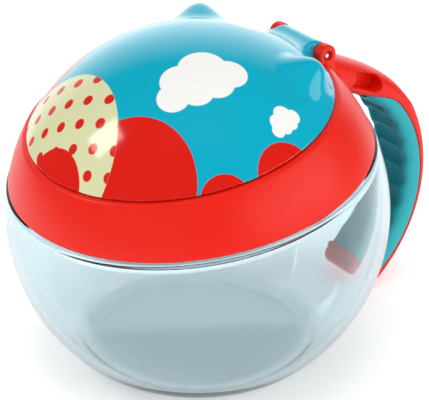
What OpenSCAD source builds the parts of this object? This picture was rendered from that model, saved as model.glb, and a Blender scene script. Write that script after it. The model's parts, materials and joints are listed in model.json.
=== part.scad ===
// Toddler snack container: a clear round bowl, a twist-off collar with a handle, soft slit flaps
// in its mouth and a hinged dome lid. Millimetres. +Z is up, -Y is the front and the handle is
// at +Y. The origin is on the table, under the middle of the bowl.

/* [Bowl] */
// Outside diameter of the round bowl
bowl_d = 114; // [112:0.5:118]
// Height of the bowl's middle above the table
centre_h = 46; // [44:0.5:48]
// Thickness of the bowl's wall
bowl_wall = 2.4; // [1.8:0.1:3]
// Thickness of the bowl's floor
floor_t = 4.5; // [3:0.1:6]
// Radius of the soft corner round the foot
foot_fillet = 12; // [8:0.5:14]
// Forward lean of the bowl's neck and the collar, in degrees
neck_tilt = 8.6; // [6:0.1:10]

/* [Neck and thread] */
// Room between the neck and the wall that holds the flaps' retainer
neck_room = 2.2; // [1.8:0.1:2.6]
// Thickness of the neck's wall
neck_wall = 2.6; // [2:0.1:3.2]
// Room between the neck's rim and the collar's round skin
neck_cover = 2.88; // [2.6:0.01:3.2]
// Height of the neck above the shoulder
neck_h = 9.4; // [9:0.1:10.5]
// Number of thread ribs on the neck, and of matching ribs in the collar
starts = 4; // [3:1:4]
// Angle that each thread rib spans
rib_span = 48; // [40:1:50]
// How far each rib stands out
rib_out = 1.9; // [1.5:0.1:2]
// Height of each rib
rib_h = 1.6; // [1.2:0.1:1.7]
// Rise of the thread in one whole turn
thread_lead = 36; // [30:1:36]
// Clearance between the collar's thread and the neck's
thread_gap = 0.4; // [0.3:0.05:0.5]
// Thickness of the sealing ring on the neck's rim
seal_t = 1.5; // [1:0.1:2]

/* [Collar] */
// How far the collar's round skin lies inside the bowl's
collar_step = 0.4; // [0.2:0.1:1]
// Thickness of the collar's skin
skin_t = 2; // [1.6:0.1:2.6]
// Gap between the shoulder and the collar's lower edge
edge_gap = 0.4; // [0.3:0.1:0.8]
// Thickness of the threaded skirt inside the collar
skirt_t = 1.7; // [1.4:0.1:2]
// Diameter of the mouth in the collar's deck
mouth_d = 70; // [66:0.5:72]
// Thickness of the collar's deck, from its underside up to the lid's seat
deck_t = 5.7; // [5.2:0.1:6.4]
// Forward lean of the lid's seat, in degrees
lid_tilt = 10.9; // [10:0.1:12]
// Width of the rim that the lid rests on
rim_w = 2.6; // [2.2:0.1:3.2]
// Depth of the pocket inside the rim
pocket_depth = 2.5; // [2:0.1:2.8]

/* [Flaps] */
// Number of soft flaps
flap_count = 6; // [6:1:6]
// Distance from the mouth's edge in to the bending line of a flap
root_inset = 6.6; // [6:0.1:8]
// Distance from the mouth's middle to the flaps' blunt tips
flap_tip = 3; // [2:0.1:4]
// Thickness of a flap
flap_t = 1; // [0.8:0.1:1.2]
// Width of the slit between two flaps
slit_w = 0.5; // [0.4:0.1:1]
// Thickness of the soft ring that carries the flaps
flap_ring_t = 1.4; // [1.2:0.1:1.8]
// How far the soft ring reaches out under the deck
ring_lap = 3.5; // [3:0.1:4]
// Height of the ring that holds the soft ring in place
retainer_h = 2.2; // [1.8:0.1:2.6]
// Thickness of the wall that the retainer snaps into
snap_wall = 1.5; // [1.2:0.1:1.7]
// Height of the bead that holds the retainer in that wall
snap_bead = 0.8; // [0.6:0.1:1]

/* [Lid] */
// How far the lid's dome lies inside the collar's skin
lid_step = 0.3; // [0.1:0.1:0.8]
// How far the middle of the dome lies under the bowl's middle
lid_drop = 0.5; // [0:0.1:1]
// Thickness of the dome
lid_wall = 2; // [1.6:0.1:2.4]
// Gap between the closed lid and its seat
lid_gap = 0.3; // [0.2:0.05:0.5]
// Thickness of the ring under the lid that plugs the collar
plug_t = 1.9; // [1.5:0.1:2.4]
// Clearance between that plug and the collar's pocket
plug_gap = 0.5; // [0.4:0.05:0.8]
// Height of the soft seal on the plug
lid_seal_h = 1.2; // [0.8:0.1:1.4]
// Sideways distance of each nub's tip from the middle
nub_x = 27.8; // [24:0.2:30]
// Distance of the nubs' tips behind the lid's middle
nub_back = 31; // [28:0.2:33]
// Height of a nub above the dome
nub_rise = 5.7; // [5:0.1:6.5]
// Radius of a nub where it leaves the dome
nub_r = 8.8; // [8:0.1:10]
// Radius of a nub's round tip
nub_tip_r = 4.8; // [4:0.1:5.5]
// Length of the flat tongue in front of the hinge's axis
tongue_l = 6.8; // [6:0.1:8]
// Height of the tongue's front end above the hinge's axis
tongue_rise = 4; // [3.6:0.1:4.4]

/* [Hinge] */
// Height of the hinge pin's axis above the lid's seat
hinge_rise = 1.5; // [1.2:0.1:2]
// Distance of the hinge pin's axis behind the collar's top edge
hinge_back = 0.1; // [0:0.1:0.4]
// Overall width of the hinge, over both lugs
hinge_w = 24.2; // [23:0.2:27]
// Thickness of each lug
lug_t = 3.5; // [3:0.1:4]
// Radius of the round end of each lug
lug_r = 3.3; // [3:0.1:3.5]
// Radius of the lid's barrel between the lugs
barrel_r = 3.1; // [2.8:0.1:3.3]
// Sideways gap between the barrel and each lug
barrel_gap = 0.3; // [0.2:0.05:0.5]
// Diameter of the hinge pin
pin_d = 2; // [1.8:0.1:2.4]
// Clearance round the pin
pin_gap = 0.05; // [0.02:0.01:0.1]
// Diameter of the recess round each end of the pin
pin_recess_d = 3; // [2.8:0.1:3.4]
// Depth of that recess
pin_recess = 0.9; // [0.6:0.1:1.2]
// How far each end of the pin stands up in its recess
pin_out = 0.4; // [0.1:0.1:0.5]

/* [Handle] */
// Width of the handle
handle_w = 17.4; // [16:0.2:17.4]
// Gap for the fingers between the bowl and the grip, halfway up
finger_gap = 19.5; // [17:0.5:23]
// Thickness of the soft grip, seen from the side
grip_t = 4.2; // [3.6:0.1:5]
// Thickness of the hard shell behind the grip
shell_t = 1.5; // [1.2:0.1:2.5]
// Radius of the handle's outer arc
outer_arc_r = 46.3; // [45:0.1:47]
// Radius of the arc between the shell and the grip
shell_arc_r = 37.4; // [36.5:0.1:38]
// Radius of the grip's inner arc
grip_arc_r = 35.4; // [34.8:0.1:36]
// How far the outer arc's middle lies below the lid's seat
outer_drop = 39.4; // [39:0.1:40]
// How far the two inner arcs' middle lies below the lid's seat
inner_drop = 40.7; // [40:0.1:41.5]
// Angle below level at which the handle ends
end_angle = 51; // [45:0.5:51]
// Radius of the handle's round end
end_r = 3.5; // [3.2:0.1:3.8]
// Angle by which the grip stops short of the handle's end
grip_end_back = 3; // [2:0.5:5]
// How far the root's underside lies below the lid's seat, where it leaves the collar
root_drop = 7.4; // [6.8:0.1:8.4]
// Downward slope of the root's underside, in degrees
root_slope = 20.3; // [18:0.1:22]
// Width of the shell's rib inside the grip
spine_w = 8; // [6:0.5:10]
// Height of that rib
spine_h = 2; // [1.5:0.1:2.4]
// Spacing of the finger grooves along the grip
groove_pitch = 7; // [6:0.1:8]
// Depth of each finger groove
groove_depth = 1.2; // [0.8:0.1:1.4]
// Number of finger grooves
groove_count = 8; // [5:1:9]
// Plain rim left on each side of the grooves
groove_rim = 1.7; // [1:0.1:3]
// Depth of the long recess in each side of the root
recess_depth = 2.6; // [1.5:0.1:3]
// Length of that recess
recess_l = 11.2; // [9:0.1:12]
// Width of that recess
recess_w = 4.8; // [4:0.1:5]
// Distance of the recess's middle behind the root's lower corner
recess_back = 8.4; // [7.5:0.05:9]
// Height of the recess's middle above the root's lower corner
recess_up = 1.5; // [1.2:0.05:1.8]

/* [Hidden] */
$fn = 96;
eps = 0.01;
big = 200;

bowl_r = bowl_d / 2;
collar_r = bowl_r - collar_step;

mouth_r = mouth_d / 2;
flap_ring_r = mouth_r + ring_lap;
flap_root = mouth_r - root_inset;
flap_gap = 0.3;
snap_gap = 0.2;
snap_r = flap_ring_r + snap_gap;
snap_lip_r = flap_ring_r - 0.6;

neck_r = snap_r + snap_wall + neck_room + neck_wall;
neck_top = sqrt(pow(collar_r - skin_t - neck_cover, 2) - pow(neck_r, 2));
shoulder_h = neck_top - neck_h;
deck_under = neck_top + seal_t;
collar_low = shoulder_h + edge_gap;
seal_bead_h = 0.6;
seal_bead_in = neck_r - 0.7 * neck_wall;
seal_bead_out = neck_r - 0.3 * neck_wall;
flap_level = deck_under - flap_ring_t / 2;
retainer_low = deck_under - flap_ring_t - retainer_h;

rib_r = neck_r + rib_out;
rib_root = 0.3;
skirt_r = rib_r + thread_gap;
rise_per_degree = thread_lead / 360;
neck_rib_h = neck_top - rib_h / 2 - rib_span * rise_per_degree;
collar_rib_h = neck_rib_h - rib_h - thread_gap;

seat_h = deck_under + deck_t;
seat_r = sqrt(pow(collar_r, 2) - pow(seat_h, 2));
pocket_r = seat_r - rim_w;
lid_r = collar_r - lid_step;
lid_low = seat_h + lid_gap;
plug_r = pocket_r - plug_gap;
plug_low = seat_h - pocket_depth + plug_gap;
plug_root = 3;
seal_groove = 0.8;
seal_gap = 0.2;
lid_seal_low = plug_low + 0.5;

hinge_y = seat_r + hinge_back;
hinge_z = seat_h + hinge_rise;
hinge_half = hinge_w / 2;
lug_inner = hinge_half - lug_t;
lug_gap = 0.4;
barrel_half = lug_inner - barrel_gap;
pin_r = pin_d / 2;
pin_half = hinge_half - pin_recess + pin_out;

outer_z = seat_h - outer_drop;
inner_z = seat_h - inner_drop;
grip_face_y = bowl_r + finger_gap;
grip_arc_y = grip_face_y - grip_arc_r;
shell_arc_y = grip_face_y + grip_t - shell_arc_r;
outer_arc_y = grip_face_y + grip_t + shell_t - outer_arc_r;
root_z = seat_h - root_drop;
root_y = sqrt(pow(collar_r, 2) - pow(root_z, 2));

clear_blue = [0.78, 0.9, 0.93, 0.4];
red = [0.9, 0.13, 0.1];
teal = [0, 0.68, 0.78];
grip_teal = [0.2, 0.66, 0.7];
cream = [0.9, 0.88, 0.78];

// Along the neck and the collar: the Z axis is the bowl's axis of thread
module neck_frame() {
    translate([0, 0, centre_h])
        rotate([neck_tilt, 0, 0])
            children();
}

// Along the lid: the Z axis is square to the lid's seat
module lid_frame() {
    translate([0, 0, centre_h])
        rotate([lid_tilt, 0, 0])
            children();
}

// A flat ring from height low to height high
module ring(inner_r, outer_r, low, high) {
    difference() {
        translate([0, 0, low])
            cylinder(r = outer_r, h = high - low);
        translate([0, 0, low - 1])
            cylinder(r = inner_r, h = high - low + 2);
    }
}

// Everything above a height
module above(height) {
    translate([-big / 2, -big / 2, height])
        cube(big);
}

// A side outline drawn in Y and Z, made into a slab that is width wide in X
module side_slab(width) {
    translate([-width / 2, 0, 0])
        rotate([90, 0, 90])
            linear_extrude(width)
                children();
}

// A corner of a thread rib: side 0 is at the wall and side 1 at the tip
function rib_corner(angle, radius, height) = [radius * cos(angle), radius * sin(angle), height];

// One rib of the thread, between a wall's radius and the rib's tip, rising with the angle
module thread_rib(wall_r, tip_r, start_h, start_angle) {
    steps = 12;
    slope_h = 0.25;
    points = [for (i = [0:steps]) let (
        angle = start_angle + rib_span * i / steps,
        middle = start_h + rib_span * i / steps * rise_per_degree)
        each [
            rib_corner(angle, wall_r, middle - rib_h / 2),
            rib_corner(angle, tip_r, middle - rib_h / 2 + slope_h),
            rib_corner(angle, tip_r, middle + rib_h / 2 - slope_h),
            rib_corner(angle, wall_r, middle + rib_h / 2)]];
    sides = [for (i = [0:steps - 1], k = [0:3])
        [4 * i + k, 4 * i + (k + 1) % 4, 4 * i + 4 + (k + 1) % 4, 4 * i + 4 + k]];
    ends = [[3, 2, 1, 0], [4 * steps, 4 * steps + 1, 4 * steps + 2, 4 * steps + 3]];
    inward = tip_r < wall_r;
    faces = concat(sides, ends);
    polyhedron(points, inward ? [for (f = faces) [f[3], f[2], f[1], f[0]]] : faces);
}

// Solid round body that stands flat on the table, with a soft corner round its foot.
// The corner's arc stands a hair proud, so that it crosses the table and the round wall cleanly.
module round_body(radius, low, fillet) {
    hair = 0.05;
    drop = centre_h - low - fillet;
    corner_r = sqrt(pow(radius - fillet, 2) - pow(drop, 2));
    touch_h = centre_h - radius * drop / (radius - fillet);
    rotate_extrude()
        difference() {
            intersection() {
                translate([0, centre_h])
                    circle(r = radius, $fn = 180);
                translate([0, low])
                    square([radius + 1, 2 * radius]);
            }
            difference() {
                translate([corner_r, low - 1])
                    square([radius, touch_h - low + 1]);
                translate([corner_r, low + fillet])
                    circle(r = fillet + hair);
            }
        }
}

module bowl() {
    color(clear_blue) {
        difference() {
            union() {
                difference() {
                    round_body(bowl_r, 0, foot_fillet);
                    neck_frame() above(shoulder_h);
                }
                neck_frame()
                    ring(neck_r - neck_wall, neck_r, shoulder_h - bowl_wall, neck_top);
            }
            difference() {
                round_body(bowl_r - bowl_wall, floor_t, foot_fillet - bowl_wall);
                neck_frame() above(shoulder_h - bowl_wall);
            }
            neck_frame()
                cylinder(r = neck_r - neck_wall, h = big);
        }
        neck_frame()
            for (i = [0:starts - 1])
                thread_rib(neck_r - rib_root, rib_r, neck_rib_h, i * 360 / starts);
    }
}

// Flat ring with a bead that sits in the groove of the collar's deck
module neck_seal() {
    color(cream)
        neck_frame() {
            ring(neck_r - neck_wall, neck_r, neck_top, deck_under);
            ring(seal_bead_in, seal_bead_out, deck_under - eps, deck_under + seal_bead_h);
        }
}

// Side outline of a hinge lug, grown by a clearance
module lug_outline(grow) {
    translate([hinge_y, hinge_z])
        circle(r = lug_r + grow);
    polygon([
        [hinge_y - lug_r - grow, hinge_z],
        [hinge_y + lug_r + grow, hinge_z],
        [hinge_y + lug_r / 2 + grow, hinge_z - 2 * lug_r],
        [hinge_y - lug_r - grow, hinge_z - 2 * lug_r]]);
}

// Both lugs, or the notches for them when they are grown
module lugs(grow) {
    for (side = [-1, 1])
        translate([side * (hinge_half - lug_t / 2), 0, 0])
            side_slab(lug_t + 2 * grow)
                lug_outline(grow);
}

// A round rod along X on the hinge's axis
module hinge_rod(radius, half) {
    translate([-half, hinge_y, hinge_z])
        rotate([0, 90, 0])
            cylinder(r = radius, h = 2 * half);
}

// Disc of one of the handle's arcs, in Y and height above the bowl's middle
module arc_disc(middle_y, middle_z, radius) {
    translate([middle_y, middle_z])
        circle(r = radius, $fn = 180);
}

// The part of the side view from the root round to an angle below level
module handle_sector(angle, reach) {
    polygon([
        [outer_arc_y, outer_z],
        [outer_arc_y + reach * cos(angle), outer_z - reach * sin(angle)],
        [outer_arc_y + reach, outer_z - reach * sin(angle)],
        [outer_arc_y + reach, reach],
        [outer_arc_y - reach, reach],
        [outer_arc_y - reach, outer_z]]);
}

// Everything under the root's underside
module under_root() {
    fall = tan(root_slope);
    polygon([
        [root_y - big, root_z + big * fall],
        [root_y + big, root_z - big * fall],
        [root_y + big, -big],
        [root_y - big, -big]]);
}

// Whole side outline of the handle, with its round end
module handle_outline() {
    difference() {
        intersection() {
            arc_disc(outer_arc_y, outer_z, outer_arc_r);
            handle_sector(end_angle, big);
        }
        intersection() {
            arc_disc(grip_arc_y, inner_z, grip_arc_r);
            under_root();
        }
        translate([-big, -big])
            square([big, 2 * big]);
    }
    translate([
        outer_arc_y + (outer_arc_r - end_r) * cos(end_angle),
        outer_z - (outer_arc_r - end_r) * sin(end_angle)])
        circle(r = end_r);
}

// Side outline of the soft grip
module grip_outline() {
    difference() {
        intersection() {
            arc_disc(shell_arc_y, inner_z, shell_arc_r);
            under_root();
            handle_sector(end_angle - grip_end_back, big);
            translate([root_y, -big])
                square(2 * big);
        }
        arc_disc(grip_arc_y, inner_z, grip_arc_r);
    }
}

// The shell's rib inside the grip
module spine() {
    side_slab(spine_w)
        difference() {
            grip_outline();
            arc_disc(shell_arc_y, inner_z, shell_arc_r - spine_h);
        }
}

// Long recess with one round end, in each side of the root
module root_recesses() {
    middle = [root_y + recess_back, root_z + recess_up];
    for (side = [-1, 1])
        translate([side * handle_w / 2, 0, 0])
            side_slab(2 * recess_depth)
                translate(middle)
                    rotate(-root_slope) {
                        translate([-recess_l / 2, -recess_w / 2])
                            square([recess_l - recess_w / 2, recess_w]);
                        translate([recess_l / 2 - recess_w / 2, 0])
                            circle(r = recess_w / 2);
                    }
}

// The hard shell of the handle, moulded in one with the collar
module handle_shell() {
    translate([0, 0, centre_h])
        difference() {
            union() {
                side_slab(handle_w)
                    difference() {
                        handle_outline();
                        grip_outline();
                    }
                spine();
            }
            sphere(r = collar_r - skin_t / 2);
            root_recesses();
        }
}

// Round skin, threaded skirt and deck
module collar_ring() {
    difference() {
        union() {
            difference() {
                translate([0, 0, centre_h])
                    sphere(r = collar_r, $fn = 120);
                translate([0, 0, centre_h])
                    sphere(r = collar_r - skin_t, $fn = 120);
                neck_frame()
                    translate([0, 0, collar_low - big])
                        cylinder(r = big, h = big);
            }
            intersection() {
                translate([0, 0, centre_h])
                    sphere(r = collar_r - skin_t / 2, $fn = 120);
                neck_frame() {
                    ring(skirt_r, skirt_r + skirt_t, collar_low, deck_under + 1);
                    ring(mouth_r, collar_r, deck_under, big / 2);
                }
            }
        }
        lid_frame() {
            above(seat_h);
            translate([0, 0, seat_h - pocket_depth])
                cylinder(r = pocket_r, h = big);
        }
        neck_frame()
            ring(seal_bead_in, seal_bead_out, deck_under - 1, deck_under + seal_bead_h);
    }
}

module collar() {
    color(red) {
        difference() {
            union() {
                collar_ring();
                handle_shell();
                difference() {
                    lid_frame() lugs(0);
                    lid_frame() translate([0, 0, -big]) cylinder(r = pocket_r, h = 2 * big);
                    translate([0, 0, centre_h]) sphere(r = collar_r - skin_t / 2, $fn = 120);
                }
            }
            lid_frame() {
                hinge_rod(barrel_r + lug_gap, lug_inner);
                hinge_rod(pin_r + pin_gap, hinge_half + 1);
                for (side = [-1, 1])
                    translate([side * (hinge_half - pin_recess), hinge_y, hinge_z])
                        rotate([0, side * 90, 0])
                            cylinder(d = pin_recess_d, h = 2 * pin_recess);
            }
        }
        neck_frame() {
            for (i = [0:starts - 1])
                thread_rib(skirt_r + rib_root, neck_r + thread_gap, collar_rib_h, i * 360 / starts);
            ring(snap_r, snap_r + snap_wall, retainer_low - snap_bead, deck_under + eps);
            ring(snap_lip_r, snap_r + eps, retainer_low - snap_bead, retainer_low);
        }
    }
}

module handle_grip() {
    groove_r = (pow(groove_pitch / 2, 2) + pow(groove_depth, 2)) / (2 * groove_depth);
    groove_ring_r = grip_arc_r + groove_depth - groove_r;
    groove_step = 2 * asin(groove_pitch / 2 / grip_arc_r);
    first_angle = (groove_count - 1) * groove_step / 2;
    color(grip_teal)
        translate([0, 0, centre_h])
            difference() {
                side_slab(handle_w)
                    grip_outline();
                spine();
                side_slab(handle_w - 2 * groove_rim)
                    for (i = [0:groove_count - 1])
                        translate([
                            grip_arc_y + groove_ring_r * cos(first_angle - i * groove_step),
                            inner_z + groove_ring_r * sin(first_angle - i * groove_step)])
                            circle(r = groove_r);
            }
}

// Round steel pin, chamfered at each end
module hinge_pin() {
    chamfer = pin_r * 0.4;
    color("silver")
        lid_frame() {
            hinge_rod(pin_r, pin_half - chamfer);
            for (side = [-1, 1])
                translate([side * (pin_half - chamfer), hinge_y, hinge_z])
                    rotate([0, side * 90, 0])
                        cylinder(r1 = pin_r, r2 = pin_r - chamfer, h = chamfer);
        }
}

// Soft ring that the flaps grow from, with a six-sided window
module flap_ring() {
    window = flap_root + flap_t / 2 + flap_gap;
    color(cream)
        neck_frame()
            difference() {
                union() {
                    translate([0, 0, deck_under - flap_ring_t])
                        cylinder(r = flap_ring_r, h = flap_ring_t);
                    cylinder(r = mouth_r - flap_gap, h = deck_under + 0.9);
                }
                translate([0, 0, -1])
                    cylinder(r = big, h = deck_under - flap_ring_t + 1);
                translate([0, 0, deck_under - 2 * flap_ring_t])
                    rotate(180 / flap_count)
                        cylinder(r = window / cos(180 / flap_count), h = 4 * flap_ring_t, $fn = flap_count);
            }
}

// Hard ring that snaps in under the soft ring
module flap_retainer() {
    color("white")
        neck_frame()
            ring(mouth_r, flap_ring_r, retainer_low, deck_under - flap_ring_t);
}

// One soft flap: a wedge with a round bending edge at its root
module flap(number) {
    half_angle = 180 / flap_count;
    slit = slit_w / 2 / cos(half_angle);
    color(cream)
        neck_frame()
            rotate((number - 1) * 360 / flap_count)
                translate([0, 0, flap_level]) {
                    linear_extrude(flap_t, center = true)
                        polygon([
                            [flap_tip, -flap_tip * tan(half_angle) + slit],
                            [flap_root, -flap_root * tan(half_angle) + slit],
                            [flap_root, flap_root * tan(half_angle) - slit],
                            [flap_tip, flap_tip * tan(half_angle) - slit]]);
                    translate([flap_root, 0, 0])
                        rotate([90, 0, 0])
                            cylinder(d = flap_t, h = 2 * flap_root * tan(half_angle) - 2 * slit, center = true);
                }
}

// Ball that the lid's dome is cut from
module lid_ball(inset) {
    translate([0, 0, -lid_drop])
        sphere(r = lid_r - inset, $fn = 120);
}

// Low cone with a round tip on each side of the dome, towards the back
module nubs() {
    sunk = 3;
    tip_z = sqrt(pow(lid_r + nub_rise, 2) - pow(nub_x, 2) - pow(nub_back, 2));
    lean = atan2(norm([nub_x, nub_back]), tip_z);
    cone_h = nub_rise - 0.7 * nub_tip_r;
    slope = (nub_r - nub_tip_r) / cone_h;
    for (side = [-1, 1])
        translate([0, 0, -lid_drop])
            rotate([0, 0, atan2(nub_back, side * nub_x)])
                rotate([0, lean, 0]) {
                    translate([0, 0, lid_r - sunk])
                        cylinder(r1 = nub_r + sunk * slope, r2 = nub_tip_r, h = cone_h + sunk);
                    translate([0, 0, lid_r + nub_rise - nub_tip_r])
                        sphere(r = nub_tip_r, $fn = 48);
                }
}

// Flat tongue that joins the dome to its hinge barrel
module tongue() {
    side_slab(2 * barrel_half)
        polygon([
            [hinge_y - tongue_l, lid_low],
            [hinge_y - tongue_l, hinge_z + tongue_rise],
            [hinge_y, hinge_z + barrel_r],
            [hinge_y, lid_low]]);
}

module lid_dome() {
    color(teal)
        lid_frame()
            difference() {
                union() {
                    difference() {
                        union() {
                            lid_ball(0);
                            nubs();
                        }
                        lid_ball(lid_wall);
                        translate([0, 0, lid_low - big])
                            cylinder(r = big, h = big);
                    }
                    intersection() {
                        ring(plug_r - plug_t, plug_r, plug_low, lid_low + plug_root);
                        lid_ball(lid_wall / 2);
                    }
                    difference() {
                        tongue();
                        lid_ball(lid_wall);
                    }
                    hinge_rod(barrel_r, barrel_half);
                }
                lugs(lug_gap);
                hinge_rod(pin_r + pin_gap, hinge_half);
                ring(plug_r - seal_groove, plug_r + 1, lid_seal_low, lid_seal_low + lid_seal_h);
            }
}

// Soft ring round the lid's plug
module lid_seal() {
    color(cream)
        lid_frame()
            ring(plug_r - seal_groove, pocket_r - seal_gap, lid_seal_low, lid_seal_low + lid_seal_h);
}

bowl();
neck_seal();
collar();
handle_grip();
hinge_pin();
flap_ring();
flap_retainer();
flap(1);  // flap_1
flap(2);  // flap_2
flap(3);  // flap_3
flap(4);  // flap_4
flap(5);  // flap_5
flap(6);  // flap_6
lid_dome();
lid_seal();
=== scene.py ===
import json
import math

import bpy
import numpy as np
from mathutils import Matrix, Vector


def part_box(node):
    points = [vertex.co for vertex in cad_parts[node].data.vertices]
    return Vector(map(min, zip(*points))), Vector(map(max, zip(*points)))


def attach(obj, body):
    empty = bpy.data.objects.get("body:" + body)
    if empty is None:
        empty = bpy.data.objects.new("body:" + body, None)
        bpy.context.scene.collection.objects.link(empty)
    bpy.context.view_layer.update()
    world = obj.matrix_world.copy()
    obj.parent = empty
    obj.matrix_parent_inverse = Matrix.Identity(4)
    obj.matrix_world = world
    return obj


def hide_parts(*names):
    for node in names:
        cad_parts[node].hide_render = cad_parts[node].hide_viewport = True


# Toddler snack container: a clear bowl, a twist-off collar with a handle, six soft flaps in its
# mouth and a hinged lid. Shapes are in millimetres and MM turns them into the frame's metres.
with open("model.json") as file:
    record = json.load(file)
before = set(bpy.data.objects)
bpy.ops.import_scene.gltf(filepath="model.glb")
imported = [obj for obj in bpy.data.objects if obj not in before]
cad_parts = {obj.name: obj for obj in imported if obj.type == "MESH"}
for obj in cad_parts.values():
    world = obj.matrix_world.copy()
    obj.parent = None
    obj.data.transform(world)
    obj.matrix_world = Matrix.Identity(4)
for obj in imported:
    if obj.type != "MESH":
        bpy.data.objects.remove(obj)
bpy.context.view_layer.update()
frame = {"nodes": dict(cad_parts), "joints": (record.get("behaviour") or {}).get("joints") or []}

# ---------------------------------------------------------------------------------------------
# Bowl. One clear injection-moulded shell of copolyester: a sphere with a flat foot, a thick
# floor and a short neck that leans forward. Four ribs of a quick thread stand on the neck.
# The frame's joints say where the middle of the cup is and how the neck leans.
# ---------------------------------------------------------------------------------------------
MM = 0.001
joints = {joint["name"]: joint for joint in frame["joints"]}
middle = np.array(joints["collar_twist"]["pos_m"]) / MM
neck_up = np.array(joints["collar_twist"]["axis"])
neck_back = np.array([0, neck_up[2], -neck_up[1]])

bowl_r = 57.0
bowl_wall = 2.4
floor_t = 4.5
foot_fillet = 12.0
shoulder_h = 16.1
neck_r = 45.0
neck_wall = 2.6
neck_top = 25.5
thread_starts = 4
rib_span = 48.0
rib_out = 1.9
rib_h = 1.6
rib_low = 19.9
rise_per_degree = 0.1


def finish_mesh(name, points, faces, normals=None):
    """An object from points in millimetres. Without normals, each point gets its faces' mean by area."""
    points = np.asarray(points, float)
    mesh = bpy.data.meshes.new(name)
    mesh.from_pydata((points * MM).tolist(), [], [list(face) for face in faces])
    mesh.validate()
    mesh.shade_smooth()
    if normals is None:
        normals = np.zeros_like(points)
        for polygon in mesh.polygons:
            for corner in polygon.vertices:
                normals[corner] += np.array(polygon.normal) * polygon.area
    normals = normals / np.maximum(np.linalg.norm(normals, axis=1), 1e-12)[:, None]
    mesh.normals_split_custom_set_from_vertices(normals.tolist())
    piece = bpy.data.objects.new(name, mesh)
    bpy.context.scene.collection.objects.link(piece)
    return piece


def loft(name, rings, closed=False):
    """A skin over rings of points. An open loft ends in a point at each end; a closed one joins up."""
    count = len(rings[0])
    points = np.concatenate(rings)
    rows = len(rings)
    faces = []
    for row in range(rows if closed else rows - 1):
        here = row * count
        there = (row + 1) % rows * count
        for i in range(count):
            j = (i + 1) % count
            faces.append((here + i, here + j, there + j, there + i))
    if not closed:
        first, last = len(points), len(points) + 1
        points = np.concatenate([points, rings[0].mean(0)[None], rings[-1].mean(0)[None]])
        end = (rows - 1) * count
        for i in range(count):
            j = (i + 1) % count
            faces.append((first, j, i))
            faces.append((last, end + i, end + j))
    return finish_mesh(name, points, faces)


def round_corners(outline, radius, steps=4):
    """An open outline of (radius, height) points with its inner corners rounded."""
    rounded = [outline[0]]
    for before, corner, after in zip(outline, outline[1:], outline[2:]):
        before, corner, after = (np.array(p, float) for p in (before, corner, after))
        back, ahead = before - corner, after - corner
        back_l, ahead_l = np.linalg.norm(back), np.linalg.norm(ahead)
        half = math.acos(np.clip(back @ ahead / back_l / ahead_l, -1, 1)) / 2
        cut = min(radius / math.tan(half), 0.45 * back_l, 0.45 * ahead_l)
        start, end = corner + back / back_l * cut, corner + ahead / ahead_l * cut
        for step in range(steps + 1):
            t = step / steps
            rounded.append(tuple((1 - t) ** 2 * start + 2 * t * (1 - t) * corner + t * t * end))
    rounded.append(outline[-1])
    return rounded


def neck_ring(radius, height, count):
    """A ring of points round the neck's axis. The radius may be a number or one value for each point."""
    turn = np.arange(count) * 2 * math.pi / count
    radius = np.broadcast_to(radius, count)[:, None]
    return (middle + height * neck_up + radius * np.cos(turn)[:, None] * [1, 0, 0]
            + radius * np.sin(turn)[:, None] * neck_back)


def ball_rings(radius, low_angle, top_ring, count, steps):
    """Rings on the round wall, from a level ring near the foot up to a ring of the leaning neck."""
    turn = np.arange(count) * 2 * math.pi / count
    low = np.stack([np.cos(turn) * math.cos(low_angle), np.sin(turn) * math.cos(low_angle),
                    np.full(count, math.sin(low_angle))], 1)
    top = (top_ring - middle) / np.linalg.norm(top_ring - middle, axis=1)[:, None]
    between = np.arccos(np.clip((low * top).sum(1), -1, 1))[:, None]
    rings = []
    for step in range(steps + 1):
        t = step / steps
        way = (np.sin((1 - t) * between) * low + np.sin(t * between) * top) / np.sin(between)
        rings.append(middle + radius * way)
    return rings


def foot_rings(radius, low, fillet, count, steps=14):
    """Level rings from the middle of the foot out round its soft corner, and the angle where they end."""
    drop = middle[2] - low - fillet
    corner_r = math.sqrt((radius - fillet) ** 2 - drop ** 2)
    touch = math.atan2(drop, corner_r)
    turn = np.arange(count) * 2 * math.pi / count
    places = [(corner_r * share, low) for share in (0.15, 0.4, 0.7, 0.9)]
    for step in range(steps):
        angle = math.pi / 2 - (math.pi / 2 - touch) * step / steps
        places.append((corner_r + fillet * math.cos(angle), low + fillet - fillet * math.sin(angle)))
    rings = [np.stack([r * np.cos(turn), r * np.sin(turn), np.full(count, z)], 1) for r, z in places]
    return rings, -touch


def rib_height(turn_degrees, height):
    """How far the thread stands out of the neck at each point of a ring at that height."""
    out = np.zeros_like(turn_degrees)
    for start in range(thread_starts):
        along = (turn_degrees - start * 360 / thread_starts) % 360
        rib_middle = rib_low + along * rise_per_degree
        flank = np.clip((rib_h / 2 - np.abs(height - rib_middle)) / 0.35, 0, 1)
        ends = np.clip(np.minimum(along, rib_span - along) / 3, 0, 1)
        out = np.maximum(out, rib_out * flank * ends)
    return out


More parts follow.
